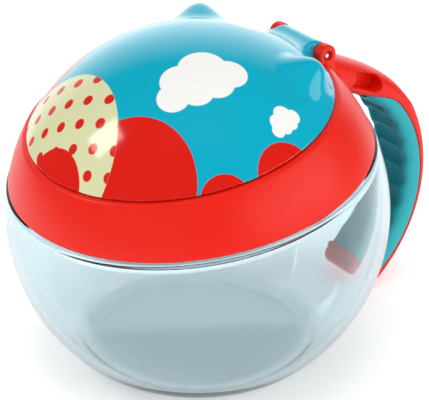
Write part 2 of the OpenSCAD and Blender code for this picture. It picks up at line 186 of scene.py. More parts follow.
count = 360
outer_foot, outer_angle = foot_rings(bowl_r, 0, foot_fillet, count)
inner_foot, inner_angle = foot_rings(bowl_r - bowl_wall, floor_t, foot_fillet - bowl_wall, count)
shoulder_r = math.sqrt(bowl_r ** 2 - shoulder_h ** 2)
under_h = shoulder_h - bowl_wall
under_r = math.sqrt((bowl_r - bowl_wall) ** 2 - under_h ** 2)
outer_top = neck_ring(shoulder_r, shoulder_h, count)
inner_top = neck_ring(under_r, under_h, count)
outer_wall = ball_rings(bowl_r, outer_angle, outer_top, count, 70)
inner_wall = ball_rings(bowl_r - bowl_wall, inner_angle, inner_top, count, 70)
lead = 2.5
lead_r = math.sqrt(bowl_r ** 2 - (shoulder_h - lead) ** 2)
under_lead_r = math.sqrt((bowl_r - bowl_wall) ** 2 - (under_h - lead) ** 2)
shoulder = round_corners([(lead_r, shoulder_h - lead), (shoulder_r, shoulder_h), (neck_r, shoulder_h),
                          (neck_r, shoulder_h + 1)], 1.2)
rim = round_corners([(neck_r, neck_top - 1), (neck_r, neck_top), (neck_r - neck_wall, neck_top),
                     (neck_r - neck_wall, under_h)], 0.5)
rim += round_corners([(neck_r - neck_wall, under_h), (under_r, under_h),
                      (under_lead_r, under_h - lead)], 1.6)[1:]
rings = outer_foot + outer_wall[:-4]
rings += [neck_ring(radius, height, count) for radius, height in shoulder]
turn_degrees = np.arange(count) * 360 / count
for height in np.arange(shoulder_h + 1.1, neck_top - 1, 0.15):
    rings.append(neck_ring(neck_r + rib_height(turn_degrees, height), height, count))
rings += [neck_ring(radius, height, count) for radius, height in rim]
rings += inner_wall[-5::-1] + inner_foot[::-1]
bowl = loft("clear_bowl", rings)


def linear(hex_colour):
    """The linear colour of an sRGB hex value."""
    parts = [int(hex_colour[i:i + 2], 16) / 255 for i in (1, 3, 5)]
    return (*[p / 12.92 if p <= 0.04045 else ((p + 0.055) / 1.055) ** 2.4 for p in parts], 1)


def add(tree, kind, inputs, **settings):
    """A new node with its settings. Each input is a value, or a socket that it is linked to."""
    node = tree.nodes.new(kind)
    for setting, value in settings.items():
        setattr(node, setting, value)
    for socket, value in inputs.items():
        if isinstance(value, bpy.types.NodeSocket):
            tree.links.new(value, node.inputs[socket])
        else:
            node.inputs[socket].default_value = value
    return node


def new_material(name):
    """An empty material, its node tree and the place of a point on the object, in metres."""
    material = bpy.data.materials.new(name)
    material.use_nodes = True
    tree = material.node_tree
    tree.nodes.clear()
    place = add(tree, "ShaderNodeTexCoord", {}).outputs["Object"]
    return material, tree, place


def per_mm(size):
    """The scale of a texture whose features are that many millimetres across."""
    return 1 / (size * MM)


def copolyester():
    """Clear copolyester, polished in the mould: sharp and bright, with faint ripples and haze."""
    material, tree, place = new_material("Clear_copolyester")
    haze = add(tree, "ShaderNodeTexNoise", {"Vector": place, "Scale": per_mm(14), "Detail": 3})
    rough = add(tree, "ShaderNodeMapRange", {"Value": haze.outputs["Fac"], "From Min": 0.35, "From Max": 0.75,
                                             "To Min": 0.015, "To Max": 0.05})
    ripple = add(tree, "ShaderNodeTexNoise", {"Vector": place, "Scale": per_mm(22), "Detail": 1})
    bump = add(tree, "ShaderNodeBump", {"Height": ripple.outputs["Fac"], "Strength": 0.12,
                                        "Distance": 0.15 * MM})
    shader = add(tree, "ShaderNodeBsdfPrincipled", {
        "Base Color": linear("#F6FBFC"), "IOR": 1.5, "Transmission Weight": 1,
        "Roughness": rough.outputs["Result"], "Normal": bump.outputs["Normal"]})
    depth = add(tree, "ShaderNodeVolumeAbsorption", {"Color": linear("#7CBCCB"), "Density": 85})
    add(tree, "ShaderNodeOutputMaterial", {"Surface": shader.outputs["BSDF"],
                                           "Volume": depth.outputs["Volume"]})
    return material


bowl.data.materials.append(copolyester())
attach(bowl, "bowl")
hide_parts("bowl")

# ---------------------------------------------------------------------------------------------
# Neck seal. A flat ring of soft silicone on the neck's rim, with a bead that holds it in the
# collar. Moulded in one, with a fine matt skin.
# ---------------------------------------------------------------------------------------------
seal_t = 1.5
bead_h = 0.6


def neck_band(name, outline, radius, steps=3):
    """A ring of one closed section round the neck's axis, with its corners rounded."""
    section = round_corners([outline[-1], *outline, outline[0]], radius, steps)[1:-1]
    return loft(name, [neck_ring(r, h, 240) for r, h in section][::-1], closed=True)


deck_under = neck_top + seal_t
seal_in, seal_out = neck_r - neck_wall, neck_r
bead_in, bead_out = neck_r - 0.7 * neck_wall, neck_r - 0.3 * neck_wall
neck_seal = neck_band("neck_seal_ring", [
    (seal_in, neck_top), (seal_out, neck_top), (seal_out, deck_under), (bead_out, deck_under),
    (bead_out, deck_under + bead_h), (bead_in, deck_under + bead_h), (bead_in, deck_under),
    (seal_in, deck_under)], 0.2)


def silicone():
    """Milky silicone rubber: soft, matt and slightly see-through. Its dust-fine grain is drawn at
    half a millimetre, coarser than it is, so that it shows."""
    material, tree, place = new_material("Milky_silicone")
    cloud = add(tree, "ShaderNodeTexNoise", {"Vector": place, "Scale": per_mm(9), "Detail": 2})
    tint = add(tree, "ShaderNodeMix", {"Factor": cloud.outputs["Fac"], "A": linear("#F1EFE6"),
                                       "B": linear("#E6E4DA")}, data_type="RGBA")
    grain = add(tree, "ShaderNodeTexNoise", {"Vector": place, "Scale": per_mm(0.5), "Detail": 2})
    rough = add(tree, "ShaderNodeMapRange", {"Value": grain.outputs["Fac"], "To Min": 0.42, "To Max": 0.58})
    bump = add(tree, "ShaderNodeBump", {"Height": grain.outputs["Fac"], "Strength": 0.2,
                                        "Distance": 0.03 * MM})
    shader = add(tree, "ShaderNodeBsdfPrincipled", {
        "Base Color": tint.outputs["Result"], "IOR": 1.43, "Roughness": rough.outputs["Result"],
        "Subsurface Weight": 0.25, "Subsurface Radius": (1.2 * MM, 1.1 * MM, 1.0 * MM),
        "Subsurface Scale": 1,
        "Normal": bump.outputs["Normal"]})
    add(tree, "ShaderNodeOutputMaterial", {"Surface": shader.outputs["BSDF"]})
    return material


silicone_material = silicone()
neck_seal.data.materials.append(silicone_material)
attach(neck_seal, "seal")
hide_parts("neck_seal")

# ---------------------------------------------------------------------------------------------
# Collar. One red polypropylene moulding: a band of the sphere with a threaded skirt inside, a
# deck with the mouth, the lid's seat and pocket, two hinge lugs, and the hard shell of the
# handle. Its edges have small radii and the handle grows out of the band.
# ---------------------------------------------------------------------------------------------
collar_r = 56.6
skin_t = 2.0
collar_low = 16.5
skirt_r = 47.3
skirt_t = 1.7
thread_gap = 0.4
mouth_r = 35.0
seat_h = 32.7
pocket_r = 43.6
pocket_depth = 2.5
snap_r = 38.7
snap_wall = 1.5
snap_low = 22.6
lid_tilt = math.radians(10.9)
hinge = np.array(joints["lid_hinge"]["pos_m"]) / MM - middle
hinge_back = hinge[1] * math.cos(lid_tilt) + hinge[2] * math.sin(lid_tilt)
hinge_up = hinge[2] * math.cos(lid_tilt) - hinge[1] * math.sin(lid_tilt)
hinge_half = 12.1
lug_t = 3.5
lug_r = 3.3
barrel_room = 4.7
pin_bore_r = 1.05
pin_recess_r = 1.5
pin_recess = 0.9
handle_w = 17.4
outer_arc = (36.1, -6.7, 46.5)
rear_arc = (40.1, -7.8, 43.0)
shell_arc = (42.05, -8.9, 38.9)
grip_arc = (41.1, -8.0, 34.2)
end_angle = math.radians(54.5)
end_r = 3.5
root_corner = (50.6, 25.3)
root_slope = math.radians(25)
shoulder_point = (58.6, 21.9)
shoulder_slope = math.radians(9)
crest = (58.0, 32.7)
crest_slope = math.radians(27)
recess_middle = (59.05, 26.75)
recess_slope = math.radians(24)
recess_l = 11.3
recess_w = 4.8
recess_depth = 6.0


def round_max(a, b, size):
    """The overlap of two shapes, with the edge between them rounded."""
    h = np.maximum(size - np.abs(a - b), 0) / size
    return np.maximum(a, b) + h * h * size / 4


def round_min(a, b, size):
    """Two shapes joined, with a fillet between them."""
    return -round_max(-a, -b, size)


def along_neck(x, y, z):
    """Distance from the neck's axis, and height along it."""
    return np.hypot(x, y * neck_back[1] + z * neck_back[2]), y * neck_up[1] + z * neck_up[2]


def along_lid(y, z):
    """Distance behind the lid's axis, and height along it."""
    return (y * math.cos(lid_tilt) + z * math.sin(lid_tilt), z * math.cos(lid_tilt) - y * math.sin(lid_tilt))


def arc(y, z, circle):
    """Distance outside a circle of the side view."""
    return np.hypot(y - circle[0], z - circle[1]) - circle[2]


def above_line(y, z, point, slope):
    """Distance above a line of the side view that falls towards the back."""
    return (z - point[1]) * math.cos(slope) + (y - point[0]) * math.sin(slope)


def above_root(y, z):
    """Distance above the root's underside, which flattens out over the grip's shoulder."""
    return round_min(above_line(y, z, root_corner, root_slope),
                     above_line(y, z, shoulder_point, shoulder_slope), 2)


def beyond(y, z, angle):
    """Distance past a line that leaves the rear arc's middle at an angle below level."""
    return -(y - rear_arc[0]) * math.sin(angle) - (z - rear_arc[1]) * math.cos(angle)


def grip_bed(y, z):
    """Side view of the bed that the soft grip fills: inside the shell, under the root."""
    bed = round_max(arc(y, z, shell_arc), above_root(y, z), 3.5)
    return np.maximum(bed, beyond(y, z, end_angle - math.radians(3)))


def collar_band(x, y, z):
    """The band of the sphere with its skirt, deck and snap wall."""
    ball = np.sqrt(x * x + y * y + z * z)
    from_axis, height = along_neck(x, y, z)
    skin = np.abs(ball - collar_r + skin_t / 2) - skin_t / 2
    deck = np.maximum(ball - collar_r + 0.3, deck_under - height)
    skirt = np.abs(from_axis - skirt_r - skirt_t / 2) - skirt_t / 2
    skirt = np.maximum(np.maximum(skirt, height - deck_under - 1), ball - collar_r + skin_t / 2)
    band = round_min(round_min(skin, skirt, 0.5), deck, 0.5)
    band = round_max(band, collar_low - height, 0.7)
    snap = np.abs(from_axis - snap_r - snap_wall / 2) - snap_wall / 2
    snap = np.maximum(snap, np.maximum(snap_low - height, height - deck_under - 0.5))
    band = np.minimum(band, snap)
    return round_max(band, mouth_r - from_axis, 1.2)


def thread_ribs(x, y, z):
    """Ribs inside the skirt, which catch under the neck's ribs."""
    from_axis, height = along_neck(x, y, z)
    turn = np.degrees(np.arctan2(y * neck_back[1] + z * neck_back[2], x))
    ribs = np.full(np.broadcast(x, y, z).shape, 10.0)
    for start in range(thread_starts):
        along = (turn - start * 360 / thread_starts) % 360
        rib_middle = rib_low - rib_h - thread_gap + along * rise_per_degree
        rib = np.maximum(np.abs(height - rib_middle) - rib_h / 2, (along - rib_span) * 0.8)
        ribs = np.minimum(ribs, rib)
    return round_max(ribs, np.abs(from_axis - skirt_r) - skirt_r + neck_r + thread_gap, 0.4)


def handle_shell(x, y, z):
    """The handle's hard shell with its root and its round end."""
    gap = round_max(arc(y, z, grip_arc), above_root(y, z), 2)
    top = round_min(arc(y, z, outer_arc), arc(y, z, rear_arc), 1)
    top = round_max(top, above_line(y, z, crest, crest_slope), 3)
    side = round_max(top, -gap, 1.5)
    side = np.maximum(np.maximum(side, beyond(y, z, end_angle)), -y)
    end_reach = rear_arc[2] - end_r
    end = (rear_arc[0] + end_reach * math.cos(end_angle),
           rear_arc[1] - end_reach * math.sin(end_angle), end_r)
    side = round_min(side, arc(y, z, end), 1)
    crown = 2 + 7 * np.clip((z - 15) / 14, 0, 1)
    shell = round_max(side, np.abs(x) - handle_w / 2, crown)
    return np.maximum(shell, -grip_bed(y, z))


def lugs(x, y, z):
    """Both hinge lugs, without their bores."""
    back, up = along_lid(y, z)
    side = np.hypot(back - hinge_back, up - hinge_up) - lug_r
    slant = (back - hinge_back - lug_r) * 0.97 - (up - hinge_up) * 0.24
    stem = np.maximum(np.maximum(hinge_back - lug_r - back, slant), np.abs(up - hinge_up + lug_r) - lug_r)
    side = np.minimum(side, stem)
    return round_max(side, np.abs(np.abs(x) - hinge_half + lug_t / 2) - lug_t / 2, 0.8)


def root_recess(x, y, z):
    """Long recess in each side of the root: cut straight in front and round behind."""
    dy, dz = y - recess_middle[0], z - recess_middle[1]
    u = dy * math.cos(recess_slope) - dz * math.sin(recess_slope)
    w = dz * math.cos(recess_slope) + dy * math.sin(recess_slope)
    half = recess_w / 2
    straight = np.maximum(np.abs(w) - half, -u - recess_l / 2)
    round_end = np.hypot(u - recess_l / 2 + half, w) - half
    outline = np.where(u > recess_l / 2 - half, round_end, straight)
    return round_max(outline, handle_w / 2 - recess_depth - np.abs(x), 0.6)


def collar_shape(x, y, z):
    """The whole collar: negative inside, in millimetres."""
    z = z - middle[2]
    ball = np.sqrt(x * x + y * y + z * z)
    back, up = along_lid(y, z)
    from_lid_axis = np.hypot(x, back)
    shell = np.maximum(handle_shell(x, y, z), collar_r - 1.2 - ball)
    shell = round_max(shell, -root_recess(x, y, z), 0.5)
    shape = round_min(collar_band(x, y, z), shell, 1.6)
    shape = np.minimum(shape, thread_ribs(x, y, z))
    pocket = round_max(seat_h - pocket_depth - up, from_lid_axis - pocket_r, 0.4)
    opening = round_min(seat_h - up, pocket, 0.6)
    opening = np.maximum(opening, from_lid_axis - collar_r + 9.4)
    shape = round_max(shape, -opening, 0.7)
    ear = np.maximum(lugs(x, y, z), np.maximum(pocket_r - from_lid_axis, collar_r - 1 - ball))
    shape = round_min(shape, ear, 0.9)
    from_pin = np.hypot(back - hinge_back, up - hinge_up)
    room = np.maximum(from_pin - barrel_room, np.abs(x) - hinge_half + lug_t)
    bore = np.maximum(from_pin - pin_bore_r, np.abs(x) - hinge_half - 1)
    recess = np.maximum(from_pin - pin_recess_r, hinge_half - pin_recess - np.abs(x))
    shape = round_max(shape, -room, 0.3)
    return round_max(shape, -np.minimum(bore, recess), 0.3)


def slopes(shape, points):
    """Gradient of a shape at some points."""
    step = 0.02
    found = np.empty_like(points)
    for axis in range(3):
        ahead, behind = points.copy(), points.copy()
        ahead[:, axis] += step
        behind[:, axis] -= step
        found[:, axis] = (shape(*ahead.T) - shape(*behind.T)) / (2 * step)
    return found


def skin_over(name, shape, low, high, cell):
    """A closed mesh over a shape: a point in each grid cell that the surface crosses, drawn onto it."""
    axes = [start + cell * np.arange(int((end - start) / cell) + 2) for start, end in zip(low, high)]
    field = shape(axes[0][:, None, None], axes[1][None, :, None], axes[2][None, None, :])
    inside = field < 0
    corners = [np.array((i, j, k)) for i in (0, 1) for j in (0, 1) for k in (0, 1)]
    size = np.array(field.shape) - 1
    filled = np.zeros(size, np.int8)
    for corner in corners:
        end = corner + size
        filled += inside[corner[0]:end[0], corner[1]:end[1], corner[2]:end[2]]
    cells = np.argwhere((filled > 0) & (filled < 8))
    number = np.full(size, -1, np.int64)
    number[tuple(cells.T)] = np.arange(len(cells))
    total = np.zeros((len(cells), 3))
    hits = np.zeros(len(cells))
    for corner in corners:
        for axis in range(3):
            if corner[axis]:
                continue
            other = corner.copy()
            other[axis] = 1
            here = field[tuple((cells + corner).T)]
            there = field[tuple((cells + other).T)]
            crossed = (here < 0) != (there < 0)
            share = np.where(crossed, here / np.where(crossed, here - there, 1), 0)
            total += crossed[:, None] * corner
            total[:, axis] += crossed * share
            hits += crossed
    points = np.array(low) + cell * (cells + total / hits[:, None])
    for _ in range(4):
        slope = slopes(shape, points)
        move = (shape(*points.T) / np.maximum((slope ** 2).sum(1), 0.2))[:, None] * slope
        points -= np.clip(move, -cell / 2, cell / 2)
    quads = []
    for axis in range(3):
        across = [(axis + 1) % 3, (axis + 2) % 3]
        near = np.moveaxis(inside, axis, 0)[:-1]
        far = np.moveaxis(inside, axis, 0)[1:]
        edges = np.argwhere(near != far)
        order = [axis] + [a for a in range(3) if a != axis]
        edge = np.empty_like(edges)
        edge[:, order] = edges
        keep = np.all([(edge[:, a] > 0) & (edge[:, a] < size[a]) for a in across], axis=0)
        edge = edge[keep]
        outward = inside[tuple(edge.T)]
        u, v = np.eye(3, dtype=int)[across[0]], np.eye(3, dtype=int)[across[1]]
        loop = np.stack([number[tuple((edge + step).T)] for step in (-u - v, -v, 0 * u, -u)], 1)
        quads.append(np.where(outward[:, None], loop, loop[:, ::-1]))
    return finish_mesh(name, points, np.concatenate(quads).tolist(), slopes(shape, points))


def node_room(node, spare=1.0):
    """The box of a CAD node, in millimetres, with some room round it."""
    low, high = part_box(node)
    return np.array(low) / MM - spare, np.array(high) / MM + spare


def polypropylene(name, colour, worn_colour):
    """Polypropylene from a finely etched mould: satin, with long soft highlights. The etched grain
    is a tenth of a millimetre or less; it is drawn at 0.6 so that it shows."""
    material, tree, place = new_material(name)
    cloud = add(tree, "ShaderNodeTexNoise", {"Vector": place, "Scale": per_mm(18), "Detail": 3})
    tint = add(tree, "ShaderNodeMix", {"Factor": cloud.outputs["Fac"], "A": linear(colour),
                                       "B": linear(worn_colour)}, data_type="RGBA")
    grain = add(tree, "ShaderNodeTexNoise", {"Vector": place, "Scale": per_mm(0.6), "Detail": 2})
    rough = add(tree, "ShaderNodeMapRange", {"Value": grain.outputs["Fac"], "To Min": 0.3, "To Max": 0.42})
    bump = add(tree, "ShaderNodeBump", {"Height": grain.outputs["Fac"], "Strength": 0.25,
                                        "Distance": 0.02 * MM})
    shader = add(tree, "ShaderNodeBsdfPrincipled", {
        "Base Color": tint.outputs["Result"], "IOR": 1.49, "Specular IOR Level": 0.3,
        "Roughness": rough.outputs["Result"], "Normal": bump.outputs["Normal"]})
    add(tree, "ShaderNodeOutputMaterial", {"Surface": shader.outputs["BSDF"]})
    return material


fine_cell = 0.45
collar = skin_over("collar_with_handle_shell", collar_shape, *node_room("collar"), fine_cell)
collar.data.materials.append(polypropylene("Red_polypropylene", "#E81905", "#ED1C07"))
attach(collar, "collar")
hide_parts("collar")

# ---------------------------------------------------------------------------------------------
# Handle grip. Thermoplastic rubber moulded over the inside of the handle's shell, with finger
# grooves across it that run out before its sides.
# ---------------------------------------------------------------------------------------------
groove_pitch = 7.0
groove_depth = 1.9
groove_count = 8
groove_reach = 8.2


def grip_shape(x, y, z):
    """The soft grip: negative inside, in millimetres."""
    z = z - middle[2]
    groove_r = ((groove_pitch / 2) ** 2 + groove_depth ** 2) / (2 * groove_depth)
    ring_r = grip_arc[2] + groove_depth - groove_r
    step = 2 * math.asin(groove_pitch / 2 / grip_arc[2])
    run_out = np.clip((np.abs(x) - 3) / (groove_reach - 3), 0, 1)
    run_out = groove_depth * run_out * run_out * (3 - 2 * run_out)
    hollow = arc(y, z, grip_arc)
    for i in range(groove_count):
        angle = ((groove_count - 1) / 2 - i) * step
        groove = (grip_arc[0] + ring_r * math.cos(angle),
                  grip_arc[1] + ring_r * math.sin(angle), groove_r)
        hollow = round_min(hollow, arc(y, z, groove) + run_out, 0.8)
    side = np.maximum(grip_bed(y, z), beyond(y, z, end_angle - math.radians(3)))
    grip = round_max(np.abs(x) - handle_w / 2, -hollow, 5)
    return round_max(side, grip, 0.4)


def rubber_grip():
    """Teal thermoplastic rubber: dull and grippy. Its middle, which faces the bowl, has painted shade, and
    its sides are painted a lighter teal, as if lit.
    Its grain is finer than the half millimetre at which it is drawn."""
    material, tree, place = new_material("Teal_thermoplastic_rubber")
    parts = add(tree, "ShaderNodeSeparateXYZ", {0: place})
    aside = add(tree, "ShaderNodeMath", {0: parts.outputs["X"]}, operation="ABSOLUTE")
    cloud = add(tree, "ShaderNodeTexNoise", {"Vector": place, "Scale": per_mm(12), "Detail": 3})
    # Painted light and shade: from 5.2 to 8.4 mm off the middle, the teal turns from a painted shaded tone to
    # a painted lit one.
    edge = add(tree, "ShaderNodeMapRange", {"Value": aside.outputs["Value"], "From Min": 5.2 * MM,
                                            "From Max": 8.4 * MM}, interpolation_type="SMOOTHSTEP")
    # Painted shade for the middle, which faces the bowl: two darker teals, mixed by noise.
    shaded_middle = add(tree, "ShaderNodeMix", {"Factor": cloud.outputs["Fac"], "A": linear("#0A7A8C"),
                                       "B": linear("#108797")}, data_type="RGBA")
    # Painted light: the sides get a lighter teal, as if lit from the side.
    tint = add(tree, "ShaderNodeMix", {"Factor": edge.outputs["Result"], "A": shaded_middle.outputs["Result"],
                                       "B": linear("#33B0B8")}, data_type="RGBA")
    grain = add(tree, "ShaderNodeTexNoise", {"Vector": place, "Scale": per_mm(0.5), "Detail": 2})
    rough = add(tree, "ShaderNodeMapRange", {"Value": grain.outputs["Fac"], "To Min": 0.5, "To Max": 0.65})
    bump = add(tree, "ShaderNodeBump", {"Height": grain.outputs["Fac"], "Strength": 0.35,
                                        "Distance": 0.03 * MM})
    shader = add(tree, "ShaderNodeBsdfPrincipled", {
        "Base Color": tint.outputs["Result"], "IOR": 1.5, "Specular IOR Level": 0.22,
        "Roughness": rough.outputs["Result"], "Normal": bump.outputs["Normal"]})
    add(tree, "ShaderNodeOutputMaterial", {"Surface": shader.outputs["BSDF"]})
    return material


grip = skin_over("soft_handle_grip", grip_shape, *node_room("handle_grip"), fine_cell)
grip.data.materials.append(rubber_grip())
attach(grip, "collar")
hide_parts("handle_grip")

# ---------------------------------------------------------------------------------------------
# Hinge pin. A short rod of stainless steel with chamfered ends, pressed through both lugs and
# the lid's barrel. It is drawn wire, so fine lines run along it.
# ---------------------------------------------------------------------------------------------
def stainless_steel():
    """Drawn stainless steel: bright metal whose lines stretch its highlights. The lines are drawn
    several times as wide as real ones, so that they show."""
    material, tree, place = new_material("Drawn_stainless_steel")
    squeeze = add(tree, "ShaderNodeMapping", {"Vector": place, "Scale": (0.05, 1, 1)})
    lines = add(tree, "ShaderNodeTexNoise", {"Vector": squeeze.outputs["Vector"], "Scale": per_mm(0.12),
                                             "Detail": 2})
    rough = add(tree, "ShaderNodeMapRange", {"Value": lines.outputs["Fac"], "To Min": 0.2, "To Max": 0.38})
    bump = add(tree, "ShaderNodeBump", {"Height": lines.outputs["Fac"], "Strength": 0.3,
                                        "Distance": 0.01 * MM})
    shader = add(tree, "ShaderNodeBsdfPrincipled", {
        "Base Color": linear("#D2D0CB"), "Metallic": 1, "Roughness": rough.outputs["Result"],
        "Normal": bump.outputs["Normal"]})
    add(tree, "ShaderNodeOutputMaterial", {"Surface": shader.outputs["BSDF"]})
    return material


pin = frame["nodes"]["hinge_pin"]
pin.data.materials.clear()
pin.data.materials.append(stainless_steel())

# ---------------------------------------------------------------------------------------------
# Flaps. Six soft silicone flaps and the ring they hang from, cut from one moulded sheet. They
# bend for a small hand and spring back. A white polypropylene ring holds them in the collar.
# ---------------------------------------------------------------------------------------------
def white_polypropylene():
    """White polypropylene: waxy and even, with a faint ripple from the mould."""
    material, tree, place = new_material("White_polypropylene")
    cloud = add(tree, "ShaderNodeTexNoise", {"Vector": place, "Scale": per_mm(15), "Detail": 3})
    tint = add(tree, "ShaderNodeMix", {"Factor": cloud.outputs["Fac"], "A": linear("#F2F1EC"),
                                       "B": linear("#E9E8E2")}, data_type="RGBA")
    rough = add(tree, "ShaderNodeMapRange", {"Value": cloud.outputs["Fac"], "To Min": 0.28, "To Max": 0.4})
    bump = add(tree, "ShaderNodeBump", {"Height": cloud.outputs["Fac"], "Strength": 0.1,
                                        "Distance": 0.1 * MM})
    shader = add(tree, "ShaderNodeBsdfPrincipled", {
        "Base Color": tint.outputs["Result"], "IOR": 1.49, "Roughness": rough.outputs["Result"],
        "Normal": bump.outputs["Normal"]})
    add(tree, "ShaderNodeOutputMaterial", {"Surface": shader.outputs["BSDF"]})
    return material


for name, piece in frame["nodes"].items():
    if name.startswith("flap_") or name == "lid_seal":
        piece.data.materials.clear()
        if name == "flap_retainer":
            piece.data.materials.append(white_polypropylene())
        else:
            piece.data.materials.append(silicone_material)

# ---------------------------------------------------------------------------------------------
# Lid. A glossy dome of teal ABS with two blunt nubs, a plug below with a groove for its seal,
# and a hinge barrel on a short rounded tongue. The print on it is pad-printed ink under clear
# lacquer: red and dotted cream hills, white clouds and a small brown-red sun.
# ---------------------------------------------------------------------------------------------
dome_r = 56.3
dome_drop = 0.5
dome_wall = 2.0
lid_low = 33.0
plug_r = 43.1
plug_t = 1.9
plug_low = 30.7
groove_low, groove_top = 31.2, 32.4
groove_cut = 0.8
barrel_r = 3.1
barrel_half = 8.3
nub_reach = 11.0
nub_tip = (27.8, 31.0)
nub_rise = 5.7
tongue_rise = 4.2
tongue_l = 6.8
tongue_past = 1.2
dot_pitch = 11.0
dot_r = 1.95
sun_r = 4.5
near_hill_out = 57.0


def lid_shape(x, y, z):
    """The whole lid: negative inside, in millimetres."""
    z = z - middle[2]
    back, up = along_lid(y, z)
    from_lid_axis = np.hypot(x, back)
    ball = np.sqrt(x * x + back * back + (up + dome_drop) ** 2)
    tip_up = math.sqrt((dome_r + nub_rise) ** 2 - nub_tip[0] ** 2 - nub_tip[1] ** 2)
    out = np.array([nub_tip[0], nub_tip[1], tip_up]) / (dome_r + nub_rise)
    toward = np.abs(x) * out[0] + back * out[1] + (up + dome_drop) * out[2]
    from_nub = np.sqrt(np.maximum(ball ** 2 - toward ** 2, 0))
    near = np.clip(from_nub / nub_reach, 0, 1)
    swell = nub_rise * (0.5 + 0.5 * np.cos(math.pi * near)) * (toward > 0)
    tongue_top = hinge_up + tongue_rise
    tongue = round_max(up - tongue_top, back - hinge_back - tongue_past, 3)
    tongue = np.maximum(tongue, np.maximum(hinge_back - tongue_l - 3 - back, hinge_up - 1 - up))
    tongue = round_max(tongue, np.abs(x) - barrel_half, 1.2)
    barrel = np.maximum(np.hypot(back - hinge_back, up - hinge_up) - barrel_r, np.abs(x) - barrel_half)
    dome = round_max(ball - dome_r - swell, lid_low - up, 0.5)
    solid = round_min(dome, round_max(tongue, -ball + dome_r - 3, 0.5), 2.5)
    solid = round_min(solid, barrel, 0.8)
    plug = np.maximum(from_lid_axis - plug_r, np.maximum(plug_low - up, up - lid_low - 1))
    solid = np.minimum(solid, plug)
    hollow_wall = ball - dome_r + dome_wall
    hollow_plug = np.maximum(from_lid_axis - plug_r + plug_t, up - lid_low - 3)
    hollow_wall = np.maximum(hollow_wall, np.maximum(lid_low + 1 - up, from_lid_axis - 60))
    hollow = round_min(hollow_wall, hollow_plug, 0.5)
    solid = round_max(solid, -hollow, 0.4)
    groove = np.maximum(np.maximum(groove_low - up, up - groove_top), plug_r - groove_cut - from_lid_axis)
    solid = round_max(solid, -groove, 0.15)
    bore = np.hypot(back - hinge_back, up - hinge_up) - pin_bore_r
    return np.maximum(solid, -bore)


def inside_circle(tree, flat, centre, radius, edge=0.12):
    """1 inside a circle of the flat map, 0 outside, in millimetres, with a crisp printed edge."""
    away = add(tree, "ShaderNodeVectorMath", {0: flat, 1: (*centre, 0)}, operation="DISTANCE")
    return add(tree, "ShaderNodeMapRange", {
        "Value": away.outputs["Value"], "From Min": radius - edge, "From Max": radius + edge,
        "To Min": 1.0, "To Max": 0.0}).outputs["Result"]


def any_of(tree, masks):
    """The larger of several masks."""
    mask = masks[0]
    for other in masks[1:]:
        mask = add(tree, "ShaderNodeMath", {0: mask, 1: other}, operation="MAXIMUM").outputs["Value"]
    return mask


def around(turn, out):
    """A point of the flat map: degrees round the dome's top from the right, and distance from it."""
    return out * math.cos(math.radians(turn)), out * math.sin(math.radians(turn))


def over(tree, mask, under, ink):
    """An ink laid over a colour where the mask is 1."""
    return add(tree, "ShaderNodeMix", {"Factor": mask, "A": under, "B": linear(ink)},
               data_type="RGBA").outputs["Result"]


def dome_map(tree, place):
    """The dome laid flat: millimetres from its top along its surface, and 1 on its outer face."""
    dome_middle = Vector((0, dome_drop * math.sin(lid_tilt),
                          middle[2] - dome_drop * math.cos(lid_tilt))) * MM
    level = add(tree, "ShaderNodeMapping", {"Vector": place, "Location": dome_middle,
                                            "Rotation": (lid_tilt, 0, 0)}, vector_type="TEXTURE")
    way = add(tree, "ShaderNodeVectorMath", {0: level.outputs["Vector"]}, operation="NORMALIZE")
    parts = add(tree, "ShaderNodeSeparateXYZ", {0: way.outputs["Vector"]})
    angle = add(tree, "ShaderNodeMath", {0: parts.outputs["Z"]}, operation="ARCCOSINE")
    sine = add(tree, "ShaderNodeMath", {0: angle.outputs["Value"]}, operation="SINE")
    sine = add(tree, "ShaderNodeMath", {0: sine.outputs["Value"], 1: 0.001}, operation="MAXIMUM")
    stretch = add(tree, "ShaderNodeMath", {0: angle.outputs["Value"], 1: sine.outputs["Value"]},
                  operation="DIVIDE")
    stretch = add(tree, "ShaderNodeMath", {0: stretch.outputs["Value"], 1: dome_r}, operation="MULTIPLY")
    across = add(tree, "ShaderNodeVectorMath", {0: way.outputs["Vector"], 1: (1, 1, 0)}, operation="MULTIPLY")
    flat = add(tree, "ShaderNodeVectorMath", {0: across.outputs["Vector"], "Scale": stretch.outputs["Value"]},
               operation="SCALE").outputs["Vector"]
    from_middle = add(tree, "ShaderNodeVectorMath", {0: level.outputs["Vector"]}, operation="LENGTH")
    outside = add(tree, "ShaderNodeMath", {0: from_middle.outputs["Value"], 1: (dome_r - 0.6) * MM},
                  operation="GREATER_THAN").outputs["Value"]
    return flat, outside


def dots(tree, flat, pitch, radius):
    """Round dots in staggered rows: two square lattices, the second one half a pitch on."""
    masks = []
    for shift in (0.0, pitch / 2):
        turned = add(tree, "ShaderNodeMapping", {"Vector": flat, "Location": (shift, shift, 0),
                                                 "Rotation": (0, 0, math.radians(20))})
        cell = add(tree, "ShaderNodeVectorMath", {0: turned.outputs["Vector"], 1: (0, 0, 0),
                                                  2: (pitch, pitch, 1)}, operation="WRAP")
        masks.append(inside_circle(tree, cell.outputs["Vector"], (pitch / 2, pitch / 2), radius))
    return any_of(tree, masks)


